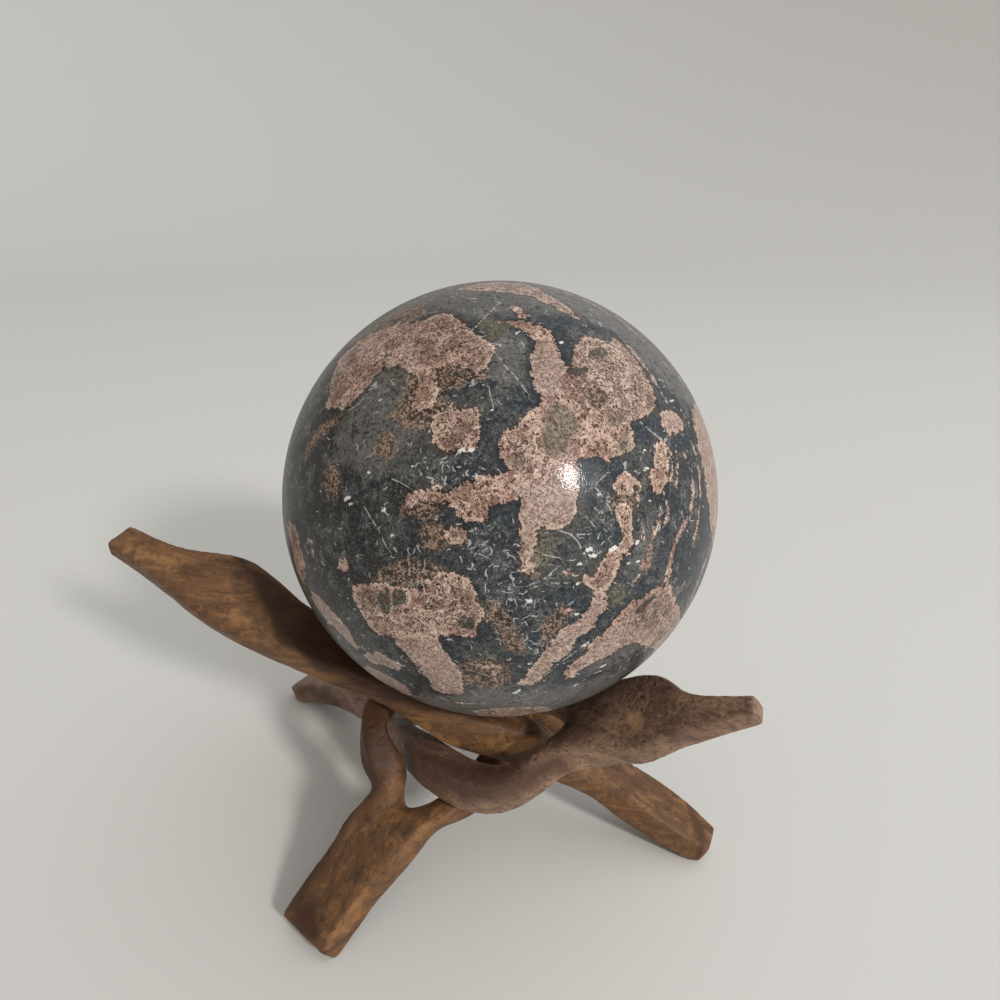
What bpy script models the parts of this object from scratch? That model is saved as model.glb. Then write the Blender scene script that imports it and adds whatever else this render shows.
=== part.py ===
"""A polished stone ball cradled in a folding stand of three carved wooden sticks.

Each stick is one plank: a hooded arm above, an eye of two bars in the middle and a flat leg
below. The three eyes hang in one another like chain links. Units are metres, +Z is up, and
the origin is on the table under the middle of the whole object.
"""

import math
from collections import namedtuple

import bmesh
import bpy
from mathutils import Matrix, Vector

MM = 0.001
BALL_RADIUS = 38.0 * MM
BALL_HEIGHT = 72.0 * MM
BALL_SEGMENTS = 36
BALL_RINGS = 18
SMOOTH_LEVELS = 2
EDGE_CREASE = 0.45
END_CREASE = 0.8
TABLE_BLOCK = 0.3
TABLE_DEPTH = 0.02

# One cross-section of a stick in the stick's own frame, in millimetres and degrees: how far
# along the arm's direction, how far to its left, the height of its middle, half its width,
# half its thickness, the roll that lifts its left side, and the hollow of its upper face.
Section = namedtuple("Section", "along side height half_width half_thick roll hollow",
                     defaults=(0.0, 0.0))
# A stick runs from its foot through the leg, the two bars of its eye and the arm to its tip.
Stick = namedtuple("Stick", "name azimuth place leg left_bar right_bar arm color")

STICKS = (
    Stick(
        "stand_stick_left", 170.0, (0.0, -5.6),
        leg=(
            Section(-42.2, -0.2, 1.3, 3.4, 2.8, 0.0),
            Section(-37.5, -1.4, 3.8, 4.8, 3.0, 0.0),
            Section(-29.0, -3.6, 7.8, 5.6, 3.2, 0.0),
            Section(-20.0, -4.4, 12.5, 5.4, 3.6, 0.0),
        ),
        left_bar=(
            Section(-12.8, 0.6, 17.5, 3.3, 3.7, 0.0),
            Section(-7.0, 4.1, 26.2, 3.3, 4.1, 0.0),
            Section(3.5, 5.4, 28.6, 3.4, 4.3, 0.0),
            Section(14.0, 5.8, 32.4, 3.4, 3.9, 0.0),
        ),
        right_bar=(
            Section(-13.0, -11.0, 14.0, 3.0, 3.2, 0.0),
            Section(-5.0, -17.0, 16.4, 3.0, 3.1, 0.0),
            Section(3.5, -18.0, 21.3, 3.0, 3.1, 0.0),
            Section(13.0, -12.0, 32.1, 3.0, 3.2, 0.0),
        ),
        arm=(
            Section(22.0, 0.8, 35.8, 6.4, 3.3, -8.0),
            Section(33.0, 4.8, 42.0, 4.6, 3.0, -16.0),
            Section(44.0, 4.3, 47.6, 6.5, 2.8, -28.0),
            Section(54.0, 1.4, 52.2, 8.2, 2.5, -32.0),
            Section(64.0, 0.9, 54.2, 4.0, 2.2, -24.0),
            Section(78.0, -2.2, 59.0, 3.2, 2.0, -14.0),
        ),
        color=(0.20, 0.105, 0.05, 1.0),
    ),
    Stick(
        "stand_stick_right", -35.6, (0.0, -7.1),
        leg=(
            Section(-69.6, 7.4, 1.2, 3.8, 2.6, 0.0),
            Section(-62.0, 7.8, 4.8, 4.8, 2.8, 0.0),
            Section(-48.0, 8.0, 10.0, 5.2, 3.0, 0.0),
            Section(-28.0, 1.5, 15.0, 6.0, 3.4, 0.0),
        ),
        left_bar=(
            Section(-18.0, 3.8, 18.0, 3.2, 3.3, 0.0),
            Section(-8.0, 4.8, 26.0, 3.2, 3.2, 0.0),
            Section(0.0, 6.1, 30.7, 3.2, 3.0, 0.0),
            Section(9.0, 7.0, 33.0, 3.2, 3.0, 0.0),
        ),
        right_bar=(
            Section(-18.0, -7.0, 18.6, 3.4, 3.6, 0.0),
            Section(-8.0, -11.4, 21.2, 3.6, 3.95, 0.0),
            Section(3.0, -12.2, 21.3, 3.5, 4.0, 0.0),
            Section(11.5, -9.2, 24.4, 3.6, 4.4, 8.0),
        ),
        arm=(
            Section(17.5, -0.3, 33.45, 7.1, 4.35, 18.0),
            Section(24.0, 1.9, 38.2, 6.9, 3.2, 28.0),
            Section(30.6, 1.6, 42.2, 8.3, 2.6, 34.0),
            Section(35.5, -0.7, 45.2, 4.4, 2.4, 34.0),
            Section(41.5, -0.4, 48.6, 2.7, 2.1, 30.0),
            Section(47.5, 0.4, 52.2, 1.8, 1.8, 20.0),
        ),
        color=(0.11, 0.055, 0.03, 1.0),
    ),
    Stick(
        "stand_stick_back", 52.0, (-2.0, 1.0),
        leg=(
            Section(-46.4, 4.4, 1.4, 6.2, 2.8, 0.0),
            Section(-41.5, 4.2, 4.6, 6.3, 3.1, 0.0),
            Section(-33.0, 3.2, 9.6, 6.5, 3.2, 0.0),
            Section(-25.6, 1.8, 15.3, 8.4, 4.4, 0.0),
        ),
        left_bar=(
            Section(-22.3, 5.5, 19.6, 4.6, 3.8, 0.0),
            Section(-23.6, 9.5, 23.6, 2.8, 3.2, 0.0),
            Section(-20.1, 13.8, 28.4, 2.8, 3.1, 0.0),
            Section(-11.0, 17.4, 27.8, 2.8, 3.1, 0.0),
            Section(-3.0, 17.8, 24.8, 2.8, 3.1, 0.0),
            Section(6.0, 16.2, 27.4, 2.8, 3.1, 0.0),
        ),
        right_bar=(
            Section(-18.9, -3.7, 13.4, 3.0, 3.3, 0.0),
            Section(-9.0, -5.4, 14.2, 3.0, 3.1, 0.0),
            Section(1.0, -4.2, 18.8, 3.0, 3.0, 0.0),
            Section(6.9, -3.2, 22.4, 3.0, 3.0, 0.0),
            Section(10.6, -1.0, 30.4, 3.0, 3.0, 0.0),
        ),
        arm=(
            Section(17.0, 3.5, 32.6, 7.0, 3.5, 0.0),
            Section(28.0, 1.5, 39.1, 8.4, 3.1, 0.0),
            Section(38.0, 0.5, 45.6, 8.8, 2.8, 0.0),
            Section(46.0, 0.0, 48.8, 5.4, 2.6, 0.0),
            Section(57.0, 0.0, 52.5, 3.4, 2.4, 0.0),
        ),
        color=(0.17, 0.085, 0.04, 1.0),
    ),
)


def clear_scene():
    for obj in list(bpy.data.objects):
        bpy.data.objects.remove(obj, do_unlink=True)


def new_collection(name):
    collection = bpy.data.collections.new(name)
    bpy.context.scene.collection.children.link(collection)
    return collection


def make_material(name, color, roughness):
    material = bpy.data.materials.new(name)
    material.use_nodes = True
    shader = material.node_tree.nodes["Principled BSDF"]
    shader.inputs["Base Color"].default_value = color
    shader.inputs["Roughness"].default_value = roughness
    shader.inputs["Metallic"].default_value = 0.0
    return material


def tangents(sections):
    """The direction of the stick at each section, from the sections before and after it."""
    centres = [Vector((s.along, s.side, s.height)) for s in sections]
    directions = []
    for index in range(len(centres)):
        before = centres[max(index - 1, 0)]
        after = centres[min(index + 1, len(centres) - 1)]
        directions.append((after - before).normalized())
    return directions


def corners(section, direction, across):
    """The corners of a section, left to right above and then right to left below."""
    flat = Vector((direction.x, direction.y, 0.0)).normalized()
    left = Vector((-flat.y, flat.x, 0.0))
    above = direction.cross(left)
    if above.z < 0.0:
        above = -above
    roll = math.radians(section.roll)
    width = left * math.cos(roll) + above * math.sin(roll)
    depth = above * math.cos(roll) - left * math.sin(roll)
    centre = Vector((section.along, section.side, section.height))
    top = [centre + width * (section.half_width * u) + depth * section.half_thick
           for u in across]
    bottom = [centre + width * (section.half_width * u) - depth * section.half_thick
              for u in reversed(across)]
    if len(across) == 3:
        top[1] = top[1] - depth * section.hollow
    return [point * MM for point in top + bottom]


def add_loop(mesh, points):
    return [mesh.verts.new(point) for point in points]


def bridge(mesh, before, after):
    count = len(before)
    for index in range(count):
        following = (index + 1) % count
        mesh.faces.new((before[index], before[following], after[following], after[index]))


def split_halves(loop):
    """The left and right halves of a six-cornered section, which share its middle edge."""
    left_top, mid_top, right_top, right_low, mid_low, left_low = loop
    return ((left_top, mid_top, mid_low, left_low), (mid_top, right_top, right_low, mid_low))


def cap(mesh, loop, outward_last):
    for half in split_halves(loop):
        mesh.faces.new(half if outward_last else tuple(reversed(half)))


def stick_cage(stick):
    """The coarse cage of a stick: a loft whose middle splits into two bars."""
    mesh = bmesh.new()
    whole = (1.0, 0.0, -1.0)
    single = (1.0, -1.0)
    halves = []
    leg_path = stick.leg + stick.left_bar[:1]
    arm_path = stick.left_bar[-1:] + stick.arm
    leg_loops = [add_loop(mesh, corners(section, direction, whole))
                 for section, direction in zip(stick.leg, tangents(leg_path))]
    arm_loops = [add_loop(mesh, corners(section, direction, whole))
                 for section, direction in zip(stick.arm, tangents(arm_path)[1:])]
    for bar in (stick.left_bar, stick.right_bar):
        path = stick.leg[-1:] + bar + stick.arm[:1]
        halves.append([add_loop(mesh, corners(section, direction, single))
                       for section, direction in zip(bar, tangents(path)[1:])])
    for loops in (leg_loops, arm_loops):
        for before, after in zip(loops, loops[1:]):
            bridge(mesh, before, after)
    starts = split_halves(leg_loops[-1])
    ends = split_halves(arm_loops[0])
    for start, loops, end in zip(starts, halves, ends):
        chain = [start] + loops + [end]
        for before, after in zip(chain, chain[1:]):
            bridge(mesh, before, after)
    cap(mesh, leg_loops[0], outward_last=False)
    cap(mesh, arm_loops[-1], outward_last=True)
    crease = mesh.edges.layers.float.new("crease_edge")
    end_verts = set(leg_loops[0]) | set(arm_loops[-1])
    for loop_group in [leg_loops, arm_loops] + halves:
        for before, after in zip(loop_group, loop_group[1:]):
            for one, other in zip(before, after):
                edge = mesh.edges.get((one, other))
                edge[crease] = EDGE_CREASE
    for edge in mesh.edges:
        if edge.verts[0] in end_verts and edge.verts[1] in end_verts:
            edge[crease] = END_CREASE
    bmesh.ops.recalc_face_normals(mesh, faces=mesh.faces)
    return mesh


def make_stick(stick, collection, table):
    cage = stick_cage(stick)
    data = bpy.data.meshes.new(stick.name)
    cage.to_mesh(data)
    cage.free()
    data.shade_smooth()
    data.materials.append(make_material(stick.name + "_wood", stick.color, 0.55))
    obj = bpy.data.objects.new(stick.name, data)
    obj.location = (stick.place[0] * MM, stick.place[1] * MM, 0.0)
    obj.rotation_euler = (0.0, 0.0, math.radians(stick.azimuth))
    collection.objects.link(obj)
    smooth = obj.modifiers.new("smooth", "SUBSURF")
    smooth.levels = SMOOTH_LEVELS
    smooth.render_levels = SMOOTH_LEVELS
    foot_cut = obj.modifiers.new("foot_cut", "BOOLEAN")
    foot_cut.operation = "DIFFERENCE"
    foot_cut.object = table
    return obj


def make_table_cutter(collection):
    """A block whose top is the table, which cuts each foot flat."""
    mesh = bmesh.new()
    size = Matrix.Diagonal((TABLE_BLOCK, TABLE_BLOCK, TABLE_DEPTH, 1.0))
    place = Matrix.Translation((0.0, 0.0, -TABLE_DEPTH / 2))
    bmesh.ops.create_cube(mesh, size=1.0, matrix=place @ size)
    data = bpy.data.meshes.new("table_cutter")
    mesh.to_mesh(data)
    mesh.free()
    cutter = bpy.data.objects.new("table_cutter", data)
    cutter.hide_render = True
    cutter.display_type = "WIRE"
    collection.objects.link(cutter)
    return cutter


def make_ball(collection):
    mesh = bmesh.new()
    bmesh.ops.create_uvsphere(mesh, u_segments=BALL_SEGMENTS, v_segments=BALL_RINGS,
                              radius=BALL_RADIUS)
    data = bpy.data.meshes.new("stone_sphere")
    mesh.to_mesh(data)
    mesh.free()
    data.shade_smooth()
    data.materials.append(make_material("polished_stone", (0.10, 0.085, 0.08, 1.0), 0.12))
    ball = bpy.data.objects.new("stone_sphere", data)
    ball.location = (0.0, 0.0, BALL_HEIGHT)
    collection.objects.link(ball)
    return ball


def centre_on_table(objects):
    """Moves the pieces along the table until the middle of their common box is at the origin."""
    bpy.context.view_layer.update()
    graph = bpy.context.evaluated_depsgraph_get()
    points = []
    for obj in objects:
        evaluated = obj.evaluated_get(graph)
        points += [evaluated.matrix_world @ vert.co for vert in evaluated.data.vertices]
    middle_x = (min(p.x for p in points) + max(p.x for p in points)) / 2
    middle_y = (min(p.y for p in points) + max(p.y for p in points)) / 2
    for obj in objects:
        obj.location.x -= middle_x
        obj.location.y -= middle_y


def main():
    clear_scene()
    parts = new_collection("decorative_sphere_on_stand")
    cutters = new_collection("cutters")
    table = make_table_cutter(cutters)
    pieces = [make_ball(parts)]
    for stick in STICKS:
        pieces.append(make_stick(stick, parts, table))
    centre_on_table(pieces)


main()
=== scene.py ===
"""Looks of a polished stone ball in a folding stand of three carved sticks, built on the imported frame."""
import math

import bmesh
import bpy
import numpy as np
from mathutils import Matrix, Vector, noise


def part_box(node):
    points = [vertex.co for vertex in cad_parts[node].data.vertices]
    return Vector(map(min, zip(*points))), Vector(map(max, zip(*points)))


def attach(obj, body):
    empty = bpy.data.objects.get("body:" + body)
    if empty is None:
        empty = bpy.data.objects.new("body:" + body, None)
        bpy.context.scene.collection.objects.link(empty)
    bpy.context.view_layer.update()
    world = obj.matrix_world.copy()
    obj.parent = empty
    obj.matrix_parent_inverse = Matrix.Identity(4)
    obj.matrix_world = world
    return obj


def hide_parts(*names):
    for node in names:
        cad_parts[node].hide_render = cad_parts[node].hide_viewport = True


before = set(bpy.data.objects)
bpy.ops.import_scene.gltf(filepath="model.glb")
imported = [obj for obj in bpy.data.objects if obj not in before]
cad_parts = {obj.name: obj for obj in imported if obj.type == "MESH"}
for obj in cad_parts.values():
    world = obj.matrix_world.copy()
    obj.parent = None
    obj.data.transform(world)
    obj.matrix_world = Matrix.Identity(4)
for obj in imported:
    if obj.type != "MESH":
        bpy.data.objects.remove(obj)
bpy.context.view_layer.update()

MM = 0.001
BALL_LOW, BALL_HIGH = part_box("stone_sphere")
BALL_CENTRE = (BALL_LOW + BALL_HIGH) / 2
BALL_RADIUS = (BALL_HIGH.z - BALL_LOW.z) / 2
RADIUS_MM = BALL_RADIUS / MM

# The viewer looks down at the ball from this far away.
VIEW_DISTANCE = 136.312 * MM
VIEW_PITCH = math.radians(22.534)
VIEW_BACK = Vector((0.0, -math.cos(VIEW_PITCH), math.sin(VIEW_PITCH)))
VIEW_POINT = BALL_CENTRE + VIEW_BACK * VIEW_DISTANCE

# The camera's own axes, as the columns that turn a mark's direction into the row's.
VIEW_AXES = np.array(((1.0, 0.0, 0.0),
                      (0.0, math.sin(VIEW_PITCH), -math.cos(VIEW_PITCH)),
                      (0.0, math.cos(VIEW_PITCH), math.sin(VIEW_PITCH))))
# How far round the ball the viewer sees, and how steeply the sight line to its edge leaves the middle.
EDGE_ANGLE = math.acos(BALL_RADIUS / VIEW_DISTANCE)
FACE_SLOPE = BALL_RADIUS / math.sqrt(VIEW_DISTANCE ** 2 - BALL_RADIUS ** 2)


def link(obj):
    bpy.context.scene.collection.objects.link(obj)
    return obj


def new_object(name, mesh):
    return link(bpy.data.objects.new(name, mesh))


def paint(red, green, blue):
    """A display colour, 0 to 255, as the light that a shader takes."""
    light = [((c / 255 + 0.055) / 1.055) ** 2.4 if c > 10 else c / 255 / 12.92 for c in (red, green, blue)]
    return (*light, 1.0)


def blended(first, second, amount):
    return tuple(a * (1 - amount) + b * amount for a, b in zip(first, second))


def step(low, high, value):
    """0 below low, 1 above high, and smooth between them."""
    t = np.clip((value - low) / (high - low), 0.0, 1.0)
    return t * t * (3.0 - 2.0 * t)


def add_fields(data, fields):
    """Stores each field's value at each point, for the materials."""
    for name, values in fields.items():
        data.attributes.new(name, "FLOAT", "POINT").data.foreach_set("value", values.astype(np.float32))


class Shader:
    """Short names for building the nodes of a material or a world."""

    def __init__(self, owner, surface="Principled BSDF"):
        owner.use_nodes = True
        self.owner = owner
        self.tree = owner.node_tree
        self.surface = self.tree.nodes[surface]

    def feed(self, socket, value):
        if hasattr(value, "is_output"):
            self.tree.links.new(value, socket)
        else:
            socket.default_value = value

    def node(self, kind, inputs=(), **settings):
        made = self.tree.nodes.new("ShaderNode" + kind)
        for key, value in settings.items():
            setattr(made, key, value)
        for key, value in dict(inputs).items():
            self.feed(made.inputs[key], value)
        return made

    def coords(self, output="Object"):
        return self.node("TexCoord").outputs[output]

    def place(self, vector, scale=(1, 1, 1), rotation=(0, 0, 0)):
        return self.node("Mapping", {"Vector": vector, "Scale": scale, "Rotation": rotation}).outputs[0]

    def noise(self, vector, scale, detail, rough=0.5, warp=0.0, output="Fac"):
        inputs = {"Vector": vector, "Scale": scale, "Detail": detail, "Roughness": rough, "Distortion": warp}
        return self.node("TexNoise", inputs).outputs[output]

    def mark(self, name):
        return self.node("Attribute", attribute_name=name).outputs["Fac"]

    def math(self, operation, first, second=0.0):
        return self.node("Math", {0: first, 1: second}, operation=operation).outputs[0]

    def vector(self, operation, first, second=(0.0, 0.0, 0.0)):
        made = self.node("VectorMath", {0: first, 1: second}, operation=operation)
        return made.outputs["Value" if operation in ("DOT_PRODUCT", "LENGTH") else "Vector"]

    def total(self, first, *others):
        for other in others:
            first = self.math("ADD", first, other)
        return first

    def share(self, mask, amount):
        return self.math("MULTIPLY", mask, amount)

    def centred(self, value, gain):
        return self.share(self.math("SUBTRACT", value, 0.5), gain)

    def ramp(self, value, low, high, out_low=0.0, out_high=1.0):
        inputs = {"Value": value, "From Min": low, "From Max": high, "To Min": out_low, "To Max": out_high}
        return self.node("MapRange", inputs, interpolation_type="SMOOTHSTEP").outputs[0]

    def mix(self, factor, first, second):
        return self.node("Mix", {0: factor, 6: first, 7: second}, data_type="RGBA").outputs[2]

    def layered(self, color, *layers):
        """Paints layers over a colour, each with its mask and the most that it covers."""
        for mask, most, tint in layers:
            color = self.mix(self.share(mask, most), color, tint)
        return color

    def bump(self, height, strength, distance):
        return self.node("Bump", {"Strength": strength, "Distance": distance, "Height": height}).outputs[0]

    def finish(self, **inputs):
        for key, value in inputs.items():
            self.feed(self.surface.inputs[key.replace("_", " ")], value)
        return self.owner


# -------- the stone's marks
#
# Each mark is laid out on the face of the ball that the viewer sees, across and up from
# its middle, where 1 is the ball's edge. An outline or line lists its places two by two:
# across, up, across, up. The hidden sides carry turned copies of them.

PALE = {
    "left_shoulder": [-.8, .42, -.78, .5, -.76, .58, -.72, .66, -.62, .74, -.5, .79, -.4, .8, -.3, .84, -.24,
        .85, -.17, .81, -.12, .76, -.06, .72, -.03, .68, -.05, .61, -.1, .58, -.15, .59, -.2, .62, -.27, .6,
        -.4, .6, -.52, .61, -.57, .57, -.6, .52, -.66, .46, -.7, .41, -.76, .41],
    "left_neck": [-.42, .6, -.38, .54, -.4, .48, -.4, .42, -.36, .4, -.31, .42, -.29, .5, -.3, .6],
    "eye": [-.3, .4, -.25, .42, -.2, .41, -.13, .42, -.09, .37, -.1, .3, -.12, .23, -.2, .21, -.26, .2, -.3,
        .25, -.31, .33],
    "middle_lobe": [-.44, .02, -.36, .03, -.3, .05, -.24, .03, -.2, .05, -.15, .08, -.1, .1, -.03, .1, .02,
        .12, .08, .12, .1, .05, .08, 0, .02, -.03, -.04, -.05, -.05, -.09, -.11, -.11, -.16, -.1, -.19, -.06,
        -.22, -.02, -.3, -.03, -.38, -.01, -.41, -.05, -.44, -.05],
    "middle_drip": [.02, .12, .09, .1, .1, .04, .09, -.02, .09, -.1, .09, -.2, .07, -.25, .09, -.3, .12,
        -.36, .15, -.34, .16, -.3, .15, -.24, .17, -.2, .18, -.14, .22, -.14, .28, -.14, .34, -.11, .36,
        -.05, .35, 0, .36, .1, .36, .22, .2, .24, .05, .2],
    "top_vein": [0, .81, .12, .77, .16, .72, .15, .66, .13, .61, .15, .56, .17, .5, .19, .46, .17, .41, .12,
        .37, .05, .32, .01, .28, -.01, .22, .02, .14, .1, .12, .22, .16, .3, .22, .34, .34, .34, .48, .33,
        .6, .3, .62, .28, .66, .25, .7, .23, .77, .18, .79, .08, .82],
    "right_cloud": [.31, .58, .34, .63, .33, .69, .36, .73, .42, .74, .47, .72, .5, .7, .52, .75, .55, .72,
        .58, .67, .64, .62, .68, .54, .71, .47, .72, .41, .68, .38, .6, .36, .61, .3, .61, .24, .57, .21, .5,
        .17, .42, .19, .34, .18, .27, .24, .27, .45],
    "crown_band": [-.22, .955, -.1, .985, .05, .99, .15, .975, .22, .93, .28, .9, .35, .84, .36, .82, .31,
        .84, .25, .88, .2, .9, .14, .93, .05, .945, -.08, .955],
    "crown_chip": [.05, .885, .08, .88, .13, .84, .12, .82, .09, .83],
    "square": [.73, .4, .79, .4, .82, .38, .845, .33, .82, .3, .79, .305, .77, .29, .75, .33],
    "spindle": [.72, .25, .74, .26, .77, .2, .77, .13, .765, .07, .75, .03, .72, .01, .7, .04, .69, .08, .7,
        .15, .71, .21],
    "round_spot": [.52, .05, .53, .1, .57, .13, .6, .1, .64, .09, .62, .05, .58, .01, .54, .01],
    "long_vein_top": [.52, -.05, .56, -.02, .6, -.04, .61, -.1, .605, -.16, .61, -.21, .58, -.25, .55, -.28,
        .53, -.33, .52, -.39, .48, -.42, .5, -.5, .45, -.55, .42, -.6, .36, -.63, .33, -.67, .3, -.72, .26,
        -.75, .21, -.8, .17, -.845, .08, -.85, .12, -.81, .17, -.76, .2, -.71, .24, -.66, .29, -.6, .36,
        -.57, .4, -.51, .43, -.46, .43, -.42, .39, -.39, .34, -.37, .38, -.355, .43, -.35, .46, -.29, .49,
        -.25, .56, -.21, .56, -.15, .54, -.1],
    "low_vein": [.71, -.41, .64, -.46, .57, -.5, .52, -.57, .48, -.61, .42, -.66, .4, -.71, .33, -.755, .29,
        -.78, .3, -.835, .36, -.79, .44, -.74, .5, -.72, .55, -.68, .62, -.66, .68, -.67, .72, -.7, .77,
        -.63, .8, -.6, .83, -.54, .8, -.48, .78, -.4, .74, -.4],
    "low_patch": [-.66, -.4, -.58, -.39, -.5, -.4, -.43, -.42, -.37, -.41, -.3, -.35, -.24, -.34, -.18, -.36,
        -.13, -.4, -.1, -.45, -.08, -.5, -.09, -.56, -.11, -.64, -.15, -.63, -.25, -.63, -.3, -.62, -.27,
        -.67, -.23, -.73, -.2, -.78, -.18, -.84, -.16, -.9, -.22, -.9, -.3, -.885, -.33, -.83, -.37, -.78,
        -.41, -.74, -.46, -.69, -.48, -.64, -.56, -.62, -.6, -.59, -.62, -.54, -.66, -.47, -.68, -.43],
    "blob": [-.26, -.16, -.22, -.12, -.18, -.13, -.15, -.16, -.15, -.2, -.19, -.22, -.24, -.2],
    "left_spot": [-.75, -.31, -.73, -.29, -.7, -.29, -.69, -.32, -.72, -.34],
    "rim_left": [-.975, -.1, -.94, -.12, -.9, -.27, -.885, -.38, -.92, -.36, -.95, -.25],
    "rim_low_left": [-.875, -.41, -.82, -.455, -.77, -.52, -.71, -.58, -.66, -.67, -.62, -.705, -.68, -.67,
        -.74, -.61, -.8, -.55, -.85, -.48],
    "foot_left": [-.62, -.705, -.55, -.71, -.5, -.74, -.44, -.77, -.5, -.78, -.57, -.76, -.62, -.73],
    "foot_rim": [-.64, -.755, -.55, -.79, -.48, -.83, -.4, -.88, -.42, -.905, -.5, -.86, -.6, -.8],
    # The right rim: pale stone, with a painted sheen of reflected light along the ball's edge.
    "rim_right_and_sheen": [.9, .44, .96, .33, 1.05, .2, 1.07, 0, 1.03, -.14, .97, -.22, .96, -.1, .945, .05, .92, .2,
        .89, .33, .87, .4],
    "base_line": [-.12, -.965, .05, -.955, .22, -.95, .24, -.98, .05, -1.02, -.08, -1.01],
}

# Bands in the pale stone's colours: width, and the line that the band follows.
BANDS = [
    (.028, [.845, .2, .88, .12, .885, .02, .87, -.08, .83, -.15, .8, -.21, .785, -.28, .77, -.36, .755, -.43,
        .73, -.5, .69, -.57, .635, -.64]),
    (.014, [.86, .3, .9, .2, .915, .1, .92, 0, .91, -.1, .885, -.2, .86, -.28]),
    (.01, [.8, .28, .81, .2, .815, .12, .81, .05]),
    (.01, [.7, -.04, .705, -.12, .69, -.2, .665, -.27, .64, -.34, .6, -.41, .56, -.48]),
    (.012, [.82, -.3, .8, -.38, .77, -.45, .73, -.54]),
    (.035, [.97, -.2, .93, -.32, .89, -.43, .84, -.54, .79, -.61, .73, -.69]),
    (.014, [.72, .02, .735, -.05, .725, -.12, .7, -.19, .69, -.26, .675, -.33]),
    (.016, [.76, .02, .77, -.06, .755, -.12, .74, -.17]),
    (.035, [.685, -.24, .675, -.3, .672, -.35]),
    (.012, [.745, -.19, .755, -.215, .74, -.22]),
    (.01, [.64, .355, .69, .31, .74, .27, .785, .2, .79, .12, .775, .06]),
    (.008, [.63, .03, .64, -.05, .655, -.12, .66, -.19]),
    (.012, [-.04, .805, .05, .81, .13, .805, .2, .8]),
    (.02, [.55, .74, .62, .66, .68, .585, .73, .5, .77, .44]),
    (.012, [.82, .42, .86, .36, .88, .28]),
    (.016, [-.12, -.765, -.05, -.77, .03, -.77]),
    (.01, [-.08, -.79, -.08, -.83, -.03, -.835, -.02, -.8, -.05, -.785]),
    (.014, [-.3, -.905, -.2, -.935, -.08, -.94]),
    (.022, [.5, .86, .6, .775, .7, .68, .78, .59]),
    (.018, [.3, .945, .42, .895, .52, .83]),
    (.012, [-.86, -.2, -.88, -.19, -.895, -.22, -.88, -.25, -.86, -.235, -.855, -.27]),
    (.01, [.34, -.35, .31, -.34, .28, -.345]),
    (.012, [.28, -.515, .33, -.505, .38, -.49]),
]

# Dark grains enclosed in the pale stone.
HOLES = {
    "lens_one": [-.56, -.44, -.53, -.41, -.505, -.405, -.5, -.5, -.515, -.54, -.55, -.5, -.565, -.47],
    "lens_two": [-.49, -.41, -.45, -.42, -.43, -.44, -.44, -.475, -.49, -.5],
    "notch": [-.19, -.55, -.15, -.54, -.11, -.56, -.115, -.6, -.16, -.6, -.19, -.58],
    "long_lens": [.72, -.43, .69, -.48, .65, -.525, .615, -.535, .63, -.5, .67, -.465],
    "crook": [.3, .6, .34, .6, .41, .595, .38, .57, .34, .55, .31, .56],
    "dark_net": [.37, .5, .42, .52, .49, .49, .5, .45, .45, .41, .4, .44],
    "right_bay": [.36, .13, .42, .17, .5, .16, .53, .12, .5, .06, .5, -.04, .54, -.12, .5, -.2, .4, -.2, .36,
        -.08, .37, .03],
    "gap": [.62, .34, .66, .35, .72, .36, .7, .28, .64, .24, .61, .28],
    "mid_bay": [-.02, -.03, .06, -.02, .085, -.06, .08, -.2, 0, -.25, -.06, -.12],
    "left_cut": [-.6, .6, -.54, .64, -.5, .67, -.51, .66, -.55, .625],
    "grey_eye": [.4, .66, .44, .69, .48, .69, .5, .66, .46, .64, .42, .64],
}

# Olive-grey grains.
OLIVE = {
    "wedge": [.22, .42, .25, .43, .28, .44, .31, .41, .35, .37, .36, .32, .33, .28, .31, .23, .27, .19, .22,
        .2, .19, .25, .2, .32],
    "spot": [.5, .34, .5, .37, .53, .39, .58, .38, .57, .35, .53, .33],
    "low_spot": [.54, .25, .56, .29, .6, .27, .59, .22, .55, .21],
    "centre": [.12, .18, .1, .13, .04, .16, .06, .2],
    "left": [.17, -.15, .24, -.16, .28, -.22, .24, -.3, .17, -.31, .155, -.24, .18, -.2],
    "band": [.5, -.42, .58, -.4, .6, -.44, .54, -.48, .51, -.5, .49, -.46],
    "crown": [-.1, .83, -.02, .82, .06, .8, .02, .74, -.04, .72, -.09, .77],
    "shoulder": [-.52, .6, -.45, .59, -.42, .56, -.46, .53, -.53, .54],
}

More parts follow.
